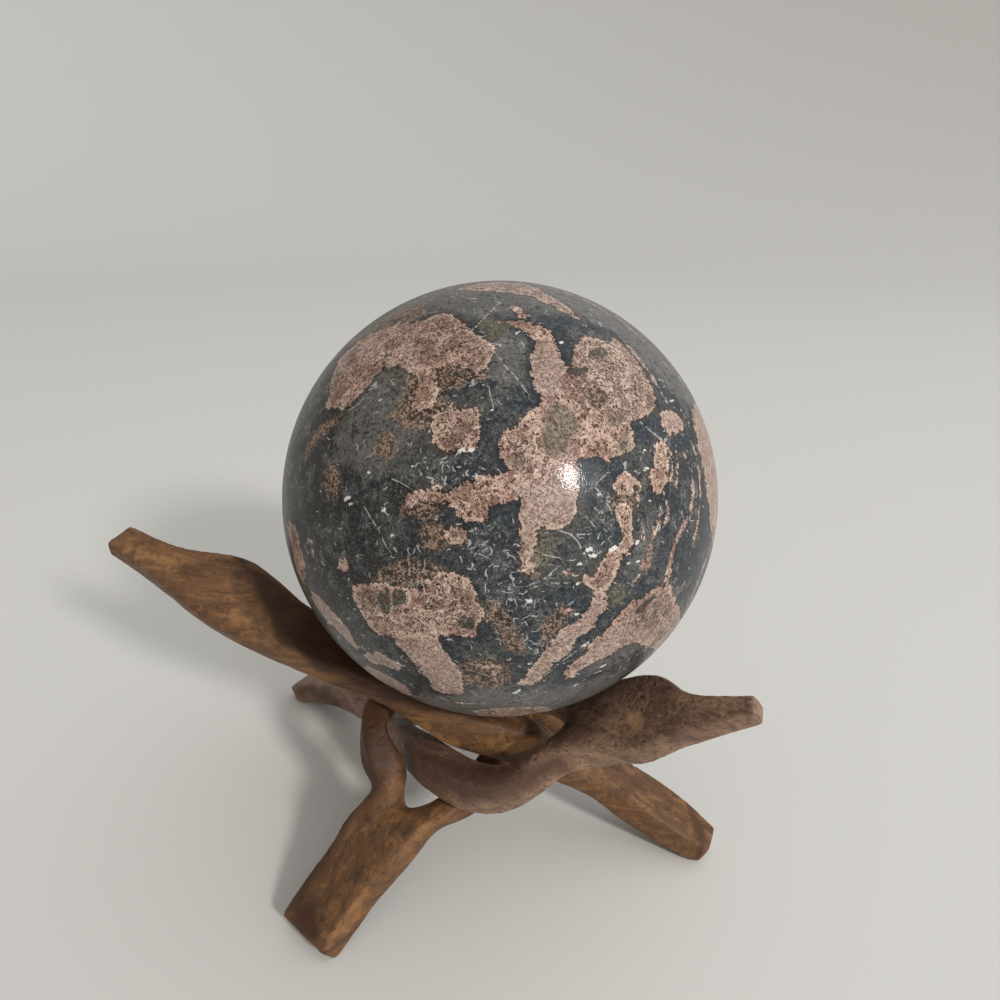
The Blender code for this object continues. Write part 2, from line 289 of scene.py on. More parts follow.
# Brown mottling, where pale grains and dark ones mix.
MOTTLE = {
    "neck": [-.5, .38, -.46, .42, -.42, .5, -.4, .6, -.3, .62, -.2, .62, -.08, .6, -.06, .55, -.18, .53,
        -.26, .5, -.28, .42, -.3, .33, -.4, .33, -.48, .35],
    "fleck": [-.58, .22, -.55, .28, -.51, .3, -.48, .27, -.49, .2, -.53, .18],
    "dome": [-.57, -.39, -.55, -.34, -.5, -.33, -.45, -.29, -.4, -.28, -.35, -.29, -.29, -.31, -.26, -.35,
        -.33, -.4, -.45, -.42],
    "blob_ring": [-.37, -.14, -.3, -.12, -.24, -.14, -.24, -.21, -.3, -.23, -.36, -.2],
    "lobe_foot": [-.44, 0, -.3, 0, -.28, -.06, -.34, -.1, -.4, -.07, -.44, -.06],
    "low_streak": [-.03, -.48, .01, -.5, .05, -.58, .1, -.68, .08, -.71, .02, -.66, -.02, -.58, -.08, -.54,
        -.08, -.49],
    "drip_side": [.09, -.24, .16, -.23, .18, -.3, .14, -.37, .09, -.33],
    "vein_side": [.2, -.66, .25, -.62, .29, -.55, .33, -.51, .28, -.49, .24, -.54, .2, -.6],
    "low_vein_side": [.55, -.57, .62, -.54, .69, -.57, .7, -.63, .62, -.66, .56, -.63],
    "foot": [-.17, -.75, -.05, -.74, .05, -.76, .05, -.84, -.06, -.87, -.17, -.84],
    "cloud_top": [.3, .55, .36, .56, .46, .55, .56, .56, .58, .5, .5, .44, .44, .41, .36, .43, .3, .48],
    "under_spot": [.52, .01, .58, .01, .61, -.03, .56, -.05, .51, -.03],
    "left_streak": [-.72, .38, -.78, .36, -.84, .31, -.88, .24, -.9, .17, -.87, .22, -.81, .3, -.76, .34],
    "left_dust": [-.8, .13, -.76, .16, -.73, .08, -.76, 0, -.8, .02],
    "pale_rim": [-.7, .7, -.6, .78, -.48, .85, -.36, .9, -.34, .84, -.48, .79, -.6, .73],
}

# Smooth, lighter places in the pale stone.
SMOOTH = {
    "drip": [.04, .06, .09, -.02, .09, -.2, .13, -.32, .18, -.16, .34, -.11, .36, 0, .3, .06, .15, .08],
    "long_vein": [.36, -.57, .43, -.46, .5, -.35, .54, -.4, .46, -.56, .32, -.72, .18, -.85, .08, -.86, .2,
        -.72, .3, -.6],
    "top_vein": [.1, .52, .18, .44, .3, .5, .3, .64, .22, .74, .13, .68],
    "low_patch": [-.24, -.66, -.15, -.91, -.32, -.9, -.44, -.76, -.5, -.66, -.36, -.64],
    # The right rim: pale stone, with a painted sheen of reflected light along the ball's edge.
    "rim_right_and_sheen": [.88, .45, .96, .33, 1.05, .2, 1.07, 0, 1.03, -.16, .94, -.1, .9, .3],
    "rim_low_left": [-.9, -.4, -.8, -.44, -.62, -.68, -.44, -.77, -.4, -.9, -.5, -.88, -.66, -.74, -.8,
        -.57],
    "low_vein": [.4, -.7, .5, -.6, .6, -.56, .7, -.6, .66, -.68, .5, -.74, .34, -.82],
    "square": [.72, .41, .84, .4, .85, .29, .74, .29],
}

# Darker, browner tangles in the pale stone.
BROWN = {
    "shoulder": [-.46, .79, -.24, .84, -.1, .76, -.04, .66, -.1, .59, -.26, .6, -.4, .66],
    "eye": [-.32, .24, -.33, .4, -.2, .46, -.08, .4, -.06, .26, -.16, .18, -.26, .18],
    "lobe": [-.22, .06, -.12, .08, -.06, .04, -.06, -.08, -.16, -.1, -.2, -.02],
    "vein_left": [0, .28, .06, .32, .12, .36, .14, .24, .08, .16, 0, .22],
    "cloud": [.3, .6, .36, .68, .5, .66, .6, .6, .68, .48, .62, .4, .52, .34, .4, .38, .3, .46],
    "low_patch": [-.38, -.42, -.3, -.34, -.18, -.36, -.1, -.46, -.1, -.62, -.22, -.62, -.34, -.56],
    "low_neck": [-.66, -.4, -.5, -.4, -.56, -.56, -.64, -.5],
    "low_vein": [.56, -.5, .64, -.46, .78, -.42, .8, -.56, .72, -.66, .62, -.6],
}

# Greyer places: lighter in the dark ground, duller in the pale stone. They are partly greyer stone and partly
# a painted sheen of reflected light, chiefly the crown zone at the top and the base zone at the bottom.
DULL_AND_SHEEN = {
    "crown": [-.62, .76, -.3, .95, .1, 1, .5, .88, .8, .6, .92, .36, .8, .46, .6, .7, .4, .82, .16, .84, -.1,
        .8, -.3, .86],
    "beside_vein": [-.06, .7, 0, .8, .1, .76, .13, .62, .11, .5, 0, .44, -.08, .54],
    "left": [-.58, .58, -.42, .6, -.42, .42, -.34, .3, -.5, .1, -.7, .12, -.78, .26, -.68, .42],
    "base": [-.42, -.9, -.12, -.84, .2, -.88, .42, -.82, .62, -.74, .44, -.93, 0, -1.03, -.32, -.99],
    "right": [.64, -.1, .7, -.05, .72, -.25, .66, -.36, .58, -.36, .62, -.22],
    "cloud": [.34, .74, .5, .76, .66, .62, .72, .44, .62, .34, .46, .42, .36, .54],
    "low_vein": [.36, -.8, .54, -.56, .74, -.38, .84, -.38, .74, -.58, .54, -.78],
}

# Places with many white hairs and crystals.
FROST = {
    "crystals": [-.3, .2, -.2, .21, -.1, .21, -.09, .12, -.14, .08, -.2, .05, -.28, .06, -.31, .12],
    "hairs": [-.16, -.14, -.02, -.12, .06, -.22, .08, -.34, .16, -.4, .18, -.55, .08, -.62, 0, -.48, -.1,
        -.38, -.18, -.26],
    "low_hairs": [.1, -.6, .2, -.6, .2, -.72, .08, -.72],
    "right_hairs": [.44, -.04, .5, .02, .54, -.1, .52, -.2, .46, -.18],
    "under_patch": [-.08, -.44, .06, -.46, .06, -.62, -.06, -.58],
    "low_patch": [-.58, -.38, -.38, -.3, -.18, -.42, -.16, -.6, -.34, -.68, -.5, -.56],
    "cloud": [.34, .68, .5, .72, .62, .58, .58, .4, .42, .42],
}

# White flakes: place and half width. The two at -.18, .22 and -.13, .225 are painted glints of light.
FLAKES_AND_GLINTS = [
    (.405, -.235, .015), (.43, -.262, .014), (.385, -.25, .009), (.52, -.23, .016), (.345, -.398, .016),
    (.355, -.31, .01), (.365, -.3, .01), (.53, -.17, .008), (.55, -.17, .01), (.63, -.2, .013),
    (.6, -.25, .009), (.63, -.29, .009), (.64, -.345, .01), (.59, -.295, .008), (.355, -.527, .01),
    (.137, -.757, .01), (.395, -.668, .013), (.08, -.885, .018), (.38, -.835, .014), (.35, -.855, .014),
    (.47, -.77, .014), (.44, -.8, .012), (-.7, 0, .014), (-.69, -.03, .012), (-.83, .03, .01),
    (-.85, .2, .008), (-.8, .2, .007), (-.6, .12, .009), (-.55, .45, .008), (-.4, .145, .009),
    (-.55, -.135, .009), (-.5, -.17, .012), (-.53, -.05, .012), (-.51, -.07, .008), (-.46, .03, .01),
    (-.65, -.19, .007), (-.76, -.25, .009), (-.82, -.22, .008), (-.845, -.32, .007), (.28, .715, .011),
    (.79, .45, .013), (.07, .5, .009), (.08, .76, .013), (.67, .135, .011), (.66, .22, .01),
    (.69, -.01, .01), (.45, .015, .009), (-.18, .22, .015), (-.13, .225, .012), (-.15, .1, .009),
    (-.1, .12, .007), (-.03, .41, .01), (-.08, .52, .01), (-.14, -.52, .011), (.11, -.45, .008),
    (.13, -.465, .01), (.14, -.475, .009), (-.02, -.86, .008), (.045, -.405, .008), (.065, -.4, .007),
    (.77, .7, .008),
]

# White scratches.
SCRATCHES = [
    [0, .9, -.04, .86, -.09, .81, -.13, .77],
    [0, .64, .04, .59, .08, .55, .12, .49],
    [.64, .355, .69, .31, .74, .27],
    [.27, -.145, .33, -.165, .41, -.165],
    [.33, -.17, .36, -.2, .375, -.23],
    [.15, -.39, .2, -.37, .26, -.32],
    [.23, -.387, .3, -.387],
    [.5, -.04, .46, .02, .43, .06, .485, .11],
    [.2, -.255, .27, -.275],
    [-.7, .4, -.64, .44, -.6, .5, -.56, .51],
    [-.62, -.04, -.56, -.14, -.51, -.24],
    [-.49, .09, -.45, .07, -.42, .05],
    [.21, -.7, .27, -.745, .36, -.79],
    [.17, -.83, .22, -.8, .28, -.75, .35, -.7],
    [.43, -.46, .5, -.51],
    [-.42, -.29, -.415, -.35, -.4, -.4],
    [-.35, -.31, -.36, -.38, -.34, -.44],
    [.39, -.08, .43, -.12],
    [-.05, .5, -.03, .42],
    [.3, -.6, .29, -.64, .32, -.7],
]

MARKS = {"pale": PALE, "hole": HOLES, "olive": OLIVE, "mottle": MOTTLE, "smooth": SMOOTH, "brown": BROWN,
         "dull_and_sheen": DULL_AND_SHEEN, "frost": FROST}
MIRROR = np.diag((-1.0, 1.0, 1.0))


def turn(axis, degrees):
    return np.array(Matrix.Rotation(math.radians(degrees), 3, axis))


# The sides of the ball, each with the turn of the marks that it carries.
SIDES = {
    "front": np.eye(3),
    "right": turn("Y", 90) @ turn("Z", 100) @ MIRROR,
    "left": turn("Y", -90) @ turn("Z", 200),
    "top": turn("X", -90) @ turn("Z", -60) @ MIRROR,
    "bottom": turn("X", 90) @ turn("Z", 35),
    "back": turn("Y", 180) @ turn("Z", 150) @ MIRROR,
}

# -------- places, lines and outlines

FAR = 99.0


def places_of(numbers):
    return np.reshape(numbers, (-1, 2))


def face_direction(across, up):
    """The surface direction, in the camera's axes, of a place on the ball's face."""
    radius = math.hypot(across, up)
    if radius >= 0.999:
        angle = EDGE_ANGLE + (radius - 1.0) * 2.6
    else:
        view = math.atan(radius * FACE_SLOPE)
        angle = math.asin(VIEW_DISTANCE * math.sin(view) / BALL_RADIUS) - view
    around = math.atan2(up, across)
    return math.sin(angle) * math.cos(around), math.sin(angle) * math.sin(around), math.cos(angle)


class Face:
    """The ball's points within reach of one mark, flattened about the mark's middle, in millimetres."""

    def __init__(self, directions, axes, outline, reach):
        corners = np.array([face_direction(*place) for place in places_of(outline)]) @ axes.T
        middle = corners.mean(axis=0)
        middle /= np.linalg.norm(middle)
        side = np.cross(middle, (0.31, 0.83, 0.47))
        side /= np.linalg.norm(side)
        self.frame = np.array((side, np.cross(middle, side), middle))
        self.corners = self.flat(corners)
        span = np.linalg.norm(self.corners, axis=1).max() + reach
        self.near = np.flatnonzero(directions @ middle > math.cos(min(span / RADIUS_MM, 3.0)))
        self.points = self.flat(directions[self.near])

    def flat(self, directions):
        local = directions @ self.frame.T
        angle = np.arccos(np.clip(local[:, 2], -1.0, 1.0))
        length = np.maximum(np.hypot(local[:, 0], local[:, 1]), 1e-9)
        return local[:, :2] * (angle / length * RADIUS_MM)[:, None]


def rounded(corners):
    """The outline with each corner cut once."""
    after = np.roll(corners, -1, axis=0)
    return np.stack((corners * 0.8 + after * 0.2, corners * 0.2 + after * 0.8), axis=1).reshape(-1, 2)


def along_segment(points, start, end):
    """How far along the segment each point lies, 0 to 1, and its distance from it."""
    edge = end - start
    along = np.clip((points - start) @ edge / max(edge @ edge, 1e-12), 0.0, 1.0)
    return along, np.linalg.norm(points - start - along[:, None] * edge, axis=1)


def patch_depth(points, outline):
    """How deep each point lies inside the outline with its corners cut. It is negative outside."""
    ring = rounded(outline)
    x, y = points.T
    nearest = np.full(len(x), FAR)
    inside = np.zeros(len(x), bool)
    for start, end in zip(ring, np.roll(ring, -1, axis=0)):
        nearest = np.minimum(nearest, along_segment(points, start, end)[1])
        if start[1] != end[1]:
            crosses = (start[1] > y) != (end[1] > y)
            inside ^= crosses & (x < start[0] + (y - start[1]) * (end[0] - start[0]) / (end[1] - start[1]))
    return np.where(inside, nearest, -nearest)


def line_depth(face, width, taper=0.0):
    """How deep each near point lies inside a line of this width, narrower towards both ends by the taper."""
    depth = np.full(len(face.points), -FAR)
    count = len(face.corners) - 1
    for index, (start, end) in enumerate(zip(face.corners[:-1], face.corners[1:])):
        along, distance = along_segment(face.points, start, end)
        from_middle = np.abs(2.0 * (index + along) / count - 1.0)
        depth = np.maximum(depth, width / 2 * (1.0 - taper * from_middle ** 3) - distance)
    return depth


def hair_side(face):
    """Signed distance to a thin line: one side positive, the other negative."""
    nearest = np.full(len(face.points), FAR)
    for start, end in zip(face.corners[:-1], face.corners[1:]):
        distance = along_segment(face.points, start, end)[1]
        edge = end - start
        side = edge[0] * (face.points[:, 1] - start[1]) - edge[1] * (face.points[:, 0] - start[0])
        closer = distance < np.abs(nearest)
        nearest = np.where(closer, np.where(side < 0, -distance, distance), nearest)
    return nearest


# -------- the ball

BALL_CUTS = 120
MARK_REACH = 4.0
FLAKE_REACH = 3.0
SCRATCH_REACH = 2.0
# A field's value far from any of its marks, in millimetres outside.
NO_MARK = 9.0
BAND_TAPER = 0.8
# The draw of Blender's noise vectors, which bend the borders between the sides' marks.
BORDER_SEED = 1795343723


def ball_directions(cuts):
    """Unit directions and faces of a cube blown up into a ball."""
    mesh = bmesh.new()
    bmesh.ops.create_cube(mesh, size=2.0)
    bmesh.ops.subdivide_edges(mesh, edges=mesh.edges[:], cuts=cuts, use_grid_fill=True)
    for vert in mesh.verts:
        even = Vector([math.tan(value * math.pi / 4) for value in vert.co])
        vert.co = even.normalized()
    bmesh.ops.recalc_face_normals(mesh, faces=mesh.faces)
    return mesh


def side_losses(directions):
    """For each side of the ball, how much its marks lose at each point, so that sides don't overlap."""
    noise.seed_set(BORDER_SEED)
    wander = np.array([noise.noise_vector(Vector(d) * 2.1) for d in directions]) * 0.16
    bent = directions + wander
    middle = np.array((0.0, 0.0, 1.0))
    scores = {name: bent @ (VIEW_AXES @ (axes @ middle)) for name, axes in SIDES.items()}
    facing = directions @ (VIEW_AXES @ middle)
    best = np.max([scores[name] for name in SIDES if name != "front"], axis=0)
    losses = {"front": NO_MARK * step(0.10, 0.26, 0.36 - facing)}
    for name in SIDES:
        if name != "front":
            border = step(0.0, 0.12, best - scores[name])
            losses[name] = NO_MARK * np.maximum(border, step(0.02, 0.20, facing))
    return losses


def stone_fields(directions):
    """The fields that the stone's material reads, in millimetres inside each kind of mark."""
    count = len(directions)
    fields = {name: np.full(count, -NO_MARK) for name in (*MARKS, "band", "flake_and_glint")}
    fields["scratch"] = np.full(count, NO_MARK)
    losses = side_losses(directions)
    for side, axes in SIDES.items():
        turned = VIEW_AXES @ axes
        loss = losses[side]

        def add(field, face, depth):
            fields[field][face.near] = np.maximum(fields[field][face.near], depth - loss[face.near])

        for field, marks in MARKS.items():
            for outline in marks.values():
                face = Face(directions, turned, outline, MARK_REACH)
                add(field, face, patch_depth(face.points, face.corners))
        for width, path in BANDS:
            face = Face(directions, turned, path, MARK_REACH)
            add("band", face, line_depth(face, width * RADIUS_MM, BAND_TAPER))
        for across, up, size in FLAKES_AND_GLINTS:
            ends = (across - size * 0.7, up - size * 0.4, across + size * 0.7, up + size * 0.4)
            face = Face(directions, turned, ends, FLAKE_REACH)
            add("flake_and_glint", face, line_depth(face, size * 1.1 * RADIUS_MM))
        for path in SCRATCHES:
            face = Face(directions, turned, path, SCRATCH_REACH)
            near = hair_side(face)
            near = near + np.sign(near) * loss[face.near]
            closer = np.abs(near) < np.abs(fields["scratch"][face.near])
            fields["scratch"][face.near] = np.where(closer, near, fields["scratch"][face.near])
    return fields


def stone_material():
    s = Shader(bpy.data.materials.new("polished_stone"))
    share, centred, ramp = s.share, s.centred, s.ramp
    where = s.coords()
    broad = s.noise(where, 150.0, 1.0)
    coarse = s.noise(where, 420.0, 2.0, 0.6, 0.3)
    loop = s.noise(where, 700.0, 0.0, 0.5, 1.6)
    grain = s.noise(where, 1250.0, 1.0, 0.6, 1.2)
    worm = s.noise(where, 2300.0, 1.0, 0.7, 1.0)

    def thread(value, width):
        """Thin lines where the noise crosses its middle."""
        return ramp(s.math("ABSOLUTE", s.math("SUBTRACT", value, 0.5)), width, width * 0.35)

    # Bent places, for curled hairs.
    bend = s.noise(where, 900.0, 0.0, output="Color")
    push = s.vector("MULTIPLY", s.vector("SUBTRACT", bend, (0.5, 0.5, 0.5)), (0.0011,) * 3)
    bent = s.vector("ADD", where, push)

    def hairs(scale, reach, width, chance):
        """Short curled hairs, one to a cell: thin slices through the cell's middle."""
        cells = s.node("TexVoronoi", {"Vector": bent, "Scale": scale})
        offset = s.vector("SUBTRACT", bent, cells.outputs["Position"])
        lean = s.vector("NORMALIZE", s.vector("SUBTRACT", cells.outputs["Color"], (0.5, 0.5, 0.5)))
        slice_depth = s.math("ABSOLUTE", s.vector("DOT_PRODUCT", offset, lean))
        far = s.vector("LENGTH", offset)
        body = share(ramp(slice_depth, width, width * 0.4), ramp(far, reach, reach * 0.7))
        pick = s.node("SeparateColor", {"Color": cells.outputs["Color"]}).outputs[1]
        return share(body, ramp(s.math("SUBTRACT", pick, chance), 0.0, 0.02))

    # Ragged edges: each field is moved by the grain before it is cut.
    ragged = s.math("ADD", centred(coarse, 2.4), s.math("ADD", centred(grain, 1.3), centred(worm, 0.8)))

    def cut(name, soft, shift=0.0, amount=1.0):
        moved = s.math("ADD", ragged if amount == 1.0 else share(ragged, amount), s.mark(name))
        return ramp(moved, shift - soft, shift + soft)

    def clouded(name, gain, low, high):
        """A field with a soft wandering edge."""
        return ramp(s.math("ADD", centred(coarse, gain), s.mark(name)), low, high)

    hole = cut("hole", 0.12, 0.0, 0.35)
    whole = s.math("ADD", ragged, s.mark("pale"))
    pale = s.math("MAXIMUM", ramp(whole, -0.10, 0.10), cut("band", 0.09, 0.0, 0.5))
    pale = share(pale, s.math("SUBTRACT", 1.0, hole))
    outline = ramp(whole, -0.75, -0.05)
    rim = s.math("ABSOLUTE", s.math("SUBTRACT", whole, 0.16))
    rim = share(ramp(rim, 0.20, 0.08), ramp(broad, 0.46, 0.54))
    olive = cut("olive", 0.45)
    mottle = share(cut("mottle", 0.8, -0.2), ramp(s.math("ADD", worm, centred(grain, 0.8)), 0.46, 0.56))
    frost = ramp(s.mark("frost"), -1.5, 1.0)
    dull_and_sheen = clouded("dull_and_sheen", 5.0, -1.5, 2.0)
    smooth = clouded("smooth", 3.0, -0.5, 0.7)
    brown = clouded("brown", 5.0, -1.0, 1.4)

    few = s.math("SUBTRACT", 0.88, s.math("ADD", share(frost, 0.72), centred(broad, 0.8)))
    hair = s.math("MAXIMUM", hairs(540.0, 0.00090, 0.00011, few), hairs(1050.0, 0.00045, 0.00010, few))
    net = s.math("MAXIMUM", thread(loop, 0.014), thread(grain, 0.018))
    net = share(net, ramp(s.math("ADD", coarse, share(frost, 0.10)), 0.56, 0.64))
    hair = s.math("MAXIMUM", hair, share(net, 0.6))

    # Dark ground, brown to the left and blue to the right, with clouds, grains and hairs. The darker brown to
    # the left is partly painted shade, on the side away from the window.
    ground = s.mix(ramp(s.mark("across"), -0.75, 0.25), paint(40, 36, 33), paint(50, 55, 60))
    shadow = s.mix(ramp(broad, 0.46, 0.56), paint(26, 22, 21), paint(72, 58, 49))
    ground = s.layered(
        ground,
        (ramp(coarse, 0.46, 0.62), 0.60, paint(70, 72, 73)),
        (ramp(broad, 0.54, 0.66), 0.5, paint(82, 80, 74)),
        # greyer stone, and a painted sheen of reflected light near the top and bottom
        (dull_and_sheen, 0.70, paint(108, 105, 101)),
        (ramp(worm, 0.55, 0.66), 0.40, paint(112, 112, 110)),
        (ramp(worm, 0.46, 0.36), 0.60, paint(24, 25, 28)),
        (ramp(grain, 0.43, 0.35), 0.65, paint(22, 23, 26)),
        (outline, 0.60, shadow),
        (hair, 0.80, paint(168, 169, 166)),
    )

    # Pale stone: a tangle of light threads over red-brown pits, with brown clouds and smooth places.
    tangle = s.math("MAXIMUM", thread(loop, 0.060), thread(grain, 0.055))
    patchy = ramp(coarse, 0.38, 0.60, 0.45, 1.20)
    plain = s.mix(ramp(worm, 0.38, 0.60), paint(110, 89, 80), paint(172, 152, 142))
    skin = s.mix(ramp(coarse, 0.40, 0.58), paint(108, 83, 74), paint(143, 116, 105))
    skin = s.layered(
        skin,
        (ramp(broad, 0.52, 0.64), 0.60, paint(104, 81, 70)),
        (ramp(broad, 0.46, 0.36), 0.45, paint(134, 96, 74)),
        (brown, 0.70, paint(86, 64, 53)),
        # greyer stone, and a painted sheen of reflected light near the top and bottom
        (dull_and_sheen, 0.60, paint(98, 88, 82)),
        (ramp(worm, 0.52, 0.42), 0.70, paint(76, 52, 44)),
        (ramp(grain, 0.46, 0.38), 0.85, paint(58, 40, 34)),
        (share(tangle, patchy), ramp(brown, 0.0, 1.0, 0.70, 0.50), paint(193, 164, 148)),
        (share(ramp(worm, 0.56, 0.64), patchy), 0.52, paint(208, 184, 171)),
        (smooth, 0.70, plain),
        (rim, 0.55, paint(200, 178, 158)),
        (hair, 0.58, paint(216, 200, 184)),
    )

    enclosed = s.mix(ramp(worm, 0.4, 0.6), paint(52, 46, 38), paint(92, 82, 68))
    rust = s.mix(ramp(worm, 0.44, 0.58), paint(78, 60, 48), paint(158, 130, 111))
    green = s.mix(ramp(worm, 0.40, 0.62), paint(62, 59, 50), paint(112, 106, 88))
    # White flakes, and two painted glints of light.
    flake_and_glint = ramp(s.math("ADD", s.mark("flake_and_glint"), share(ragged, 0.22)), -0.02, 0.10)
    line = s.math("ABSOLUTE", s.math("ADD", s.mark("scratch"), share(ragged, 0.12)))
    line = share(ramp(line, 0.13, 0.04), ramp(grain, 0.38, 0.54))
    stone = s.layered(
        ground,
        (share(hole, ramp(whole, -0.1, 0.9)), 0.6, enclosed),
        (cut("mottle", 1.0, -0.2), 0.5, paint(66, 54, 42)),
        (mottle, 0.80, rust),
    )
    stone = s.layered(
        s.mix(pale, stone, skin),
        (olive, 0.75, green),
        (flake_and_glint, 0.92, paint(206, 207, 201)),
        (line, 0.65, paint(184, 182, 176)),
    )

    rough = ramp(worm, 0.35, 0.65, 0.30, 0.50)
    pits = s.bump(worm, 0.20, 0.0001)
    return s.finish(Base_Color=stone, Roughness=rough, Specular_IOR_Level=0.12, Normal=pits, Coat_Weight=0.22,
                    Coat_Roughness=0.10, Coat_Normal=pits)


def make_ball():
    mesh = ball_directions(BALL_CUTS)
    data = bpy.data.meshes.new("stone_ball")
    directions = np.array([vert.co[:] for vert in mesh.verts])
    for vert in mesh.verts:
        vert.co = vert.co * BALL_RADIUS
    mesh.to_mesh(data)
    mesh.free()
    data.shade_smooth()
    fields = stone_fields(directions)
    fields["across"] = directions[:, 0]
    add_fields(data, fields)
    ball = new_object("stone_ball", data)
    ball.location = BALL_CENTRE
    data.materials.append(stone_material())
    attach(ball, "root")
    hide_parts("stone_sphere")


# -------- the wood's marks
#
# Marks on the sticks are placed as the viewer sees them, in the same units as the stone's marks:
# across and up from the ball's middle, where 1 is the ball's edge. Each zone has an outline,
# the softness of its edge and its strength.

# Dark zones, mostly painted shade: the ball's shadow across the left stick, shade under the ball and between
# the sticks, and the shaded left side of the back stick; a few are real dark marks, such as a knot.
SHADE_AND_STAINS = {
    "left": [
        ([-1.2, -.29, -1.1, -.33, -.92, -.48, -.8, -.55, -.66, -.7, -.45, -.86, -.28, -.93, -.05, -.98, -.05,
            -1.03, -.3, -1, -.53, -.92, -.7, -.84, -.84, -.77, -.985, -.69, -1.045, -.6, -1.09, -.48, -1.14,
            -.38], .035, 1),
        ([-1.23, -.25, -1.17, -.24, -1.15, -.28, -1.18, -.31, -1.22, -.29], .02, .8),
        ([-1.45, -.3, -1.38, -.27, -1.3, -.27, -1.28, -.36, -1.34, -.42, -1.42, -.38], .08, .3),
        ([-1.22, -.55, -1.15, -.6, -1.07, -.66, -1.02, -.74, -1.1, -.72, -1.2, -.64], .05, .25),
        ([.055, -1.03, .18, -1.02, .19, -1.08, .14, -1.1, .06, -1.1], .025, .45),
        ([.86, -1.38, .92, -1.44, .95, -1.55, .93, -1.65, .89, -1.68, .9, -1.55, .87, -1.46], .02, .7),
    ],
    "right": [
        ([.25, -1, .5, -.9, .56, -.86, .52, -.98, .42, -1.08, .3, -1.16, .2, -1.2], .09, .8),
        ([-.5, -1.02, -.3, -1.1, -.2, -1.16, -.3, -1.16, -.42, -1.12], .05, .7),
        ([-.46, -1.1, -.2, -1.18, .1, -1.24, .26, -1.16, .34, -1.22, .1, -1.38, -.16, -1.4, -.36,
            -1.3], .06, .85),
        ([-.15, -1.3, -.13, -1.3, -.13, -1.33, -.15, -1.33], .012, .9),
        ([.66, -1.1, .8, -1.16, 1, -1.1, 1.13, -1, 1, -1.02, .8, -1.06], .05, .35),
        ([-.95, -.88, -.8, -.96, -.7, -1, -.72, -.9, -.9, -.84], .05, .85),
        ([1.12, -.9, 1.145, -.9, 1.15, -.96, 1.145, -1.04, 1.12, -1.04], .01, .55),
        ([.6, -.76, .74, -.79, .84, -.84, .92, -.9, 1.05, -.93, 1.16, -.905, 1.16, -.93, 1.04, -.95, .9,
            -.92, .82, -.87, .72, -.82, .6, -.8], .012, .45),
    ],
    "back": [
        ([-.7, -.92, -.52, -.92, -.46, -1.06, -.47, -1.2, -.5, -1.34, -.64, -1.4, -.7, -1.2], .06, .8),
        ([-.69, -.95, -.6, -.96, -.61, -1.15, -.64, -1.3, -.72, -1.42, -.8, -1.55, -.9, -1.7, -1, -1.86,
            -.93, -1.94, -.88, -1.8, -.75, -1.6, -.66, -1.45, -.6, -1.3, -.59, -1.15], .045, .75),
        ([-.52, -1.08, -.48, -1.15, -.46, -1.26, -.4, -1.34, -.28, -1.4, -.2, -1.42, -.35, -1.3, -.42, -1.2,
            -.46, -1.08], .04, .85),
        ([-.98, -1.92, -.94, -1.86, -.86, -1.86, -.82, -1.95, -.84, -2.03, -.92, -2], .04, .9),
        ([-.8, -1.8, -.76, -1.76, -.78, -1.86, -.85, -1.94], .02, .6),
        ([-.58, -1.44, -.52, -1.38, -.5, -1.42, -.56, -1.5], .025, .4),
        ([-.66, -1.62, -.56, -1.48, -.58, -1.56, -.66, -1.68], .02, .4),
    ],
}

# Lighter zones, partly worn wood and partly painted light: the lit lower faces of the left and right sticks'
# bars, and glints on the left stick's hood.
WEAR_AND_LIGHT = {
    "left": [
        ([-1.72, -.16, -1.6, -.22, -1.48, -.26, -1.5, -.36, -1.62, -.36, -1.72, -.28], .06, .55),
        ([-1.24, -.44, -1.16, -.52, -1.13, -.6, -1.2, -.6, -1.26, -.52], .04, .6),
        ([-.9, -.84, -.7, -.92, -.5, -.98, -.3, -1.05, -.15, -1.12, -.2, -1.17, -.4, -1.08, -.6, -1, -.8,
            -.91], .03, .8),
        ([.02, -1.1, .16, -1.09, .18, -1.13, .12, -1.18, .02, -1.18], .025, 1),
        ([-.14, -1.06, .18, -1.05, .2, -1.16, .1, -1.2, -.16, -1.17], .03, .6),
        ([.42, -1.22, .52, -1.3, .6, -1.45, .66, -1.56, .74, -1.58, .62, -1.4, .52, -1.24], .05, .5),
        ([.8, -1.5, .86, -1.52, .88, -1.6, .82, -1.62], .04, .4),
    ],
    "right": [
        ([.57, -.97, .63, -.97, .67, -1.01, .65, -1.06, .59, -1.05], .025, 1),
        ([.5, -1.06, .55, -1.07, .55, -1.1, .5, -1.09], .02, .8),
        ([.68, -1.04, .72, -1.05, .72, -1.08, .68, -1.08], .02, .7),
        ([.79, -1.185, .95, -1.17, 1.08, -1.11, 1.19, -1.03, 1.19, -1.06, 1.05, -1.15, .9, -1.21], .018, .8),
        ([.05, -1.4, .18, -1.37, .34, -1.3, .49, -1.19, .42, -1.16, .36, -1.2, .23, -1.27, .12,
            -1.35], .025, .45),
        ([-.1, -1.2, 0, -1.22, .12, -1.22, .12, -1.25, 0, -1.26, -.1, -1.24], .02, .35),
    ],
    "back": [
        ([-.56, -1.08, -.51, -1.15, -.5, -1.3, -.56, -1.3, -.58, -1.18], .03, .6),
        ([-.36, -1.42, -.24, -1.44, -.32, -1.55, -.42, -1.66, -.5, -1.66, -.44, -1.52], .06, .7),
        ([-.6, -1.72, -.52, -1.72, -.66, -1.94, -.76, -2.05, -.82, -2.02, -.7, -1.86], .04, .7),
    ],
}

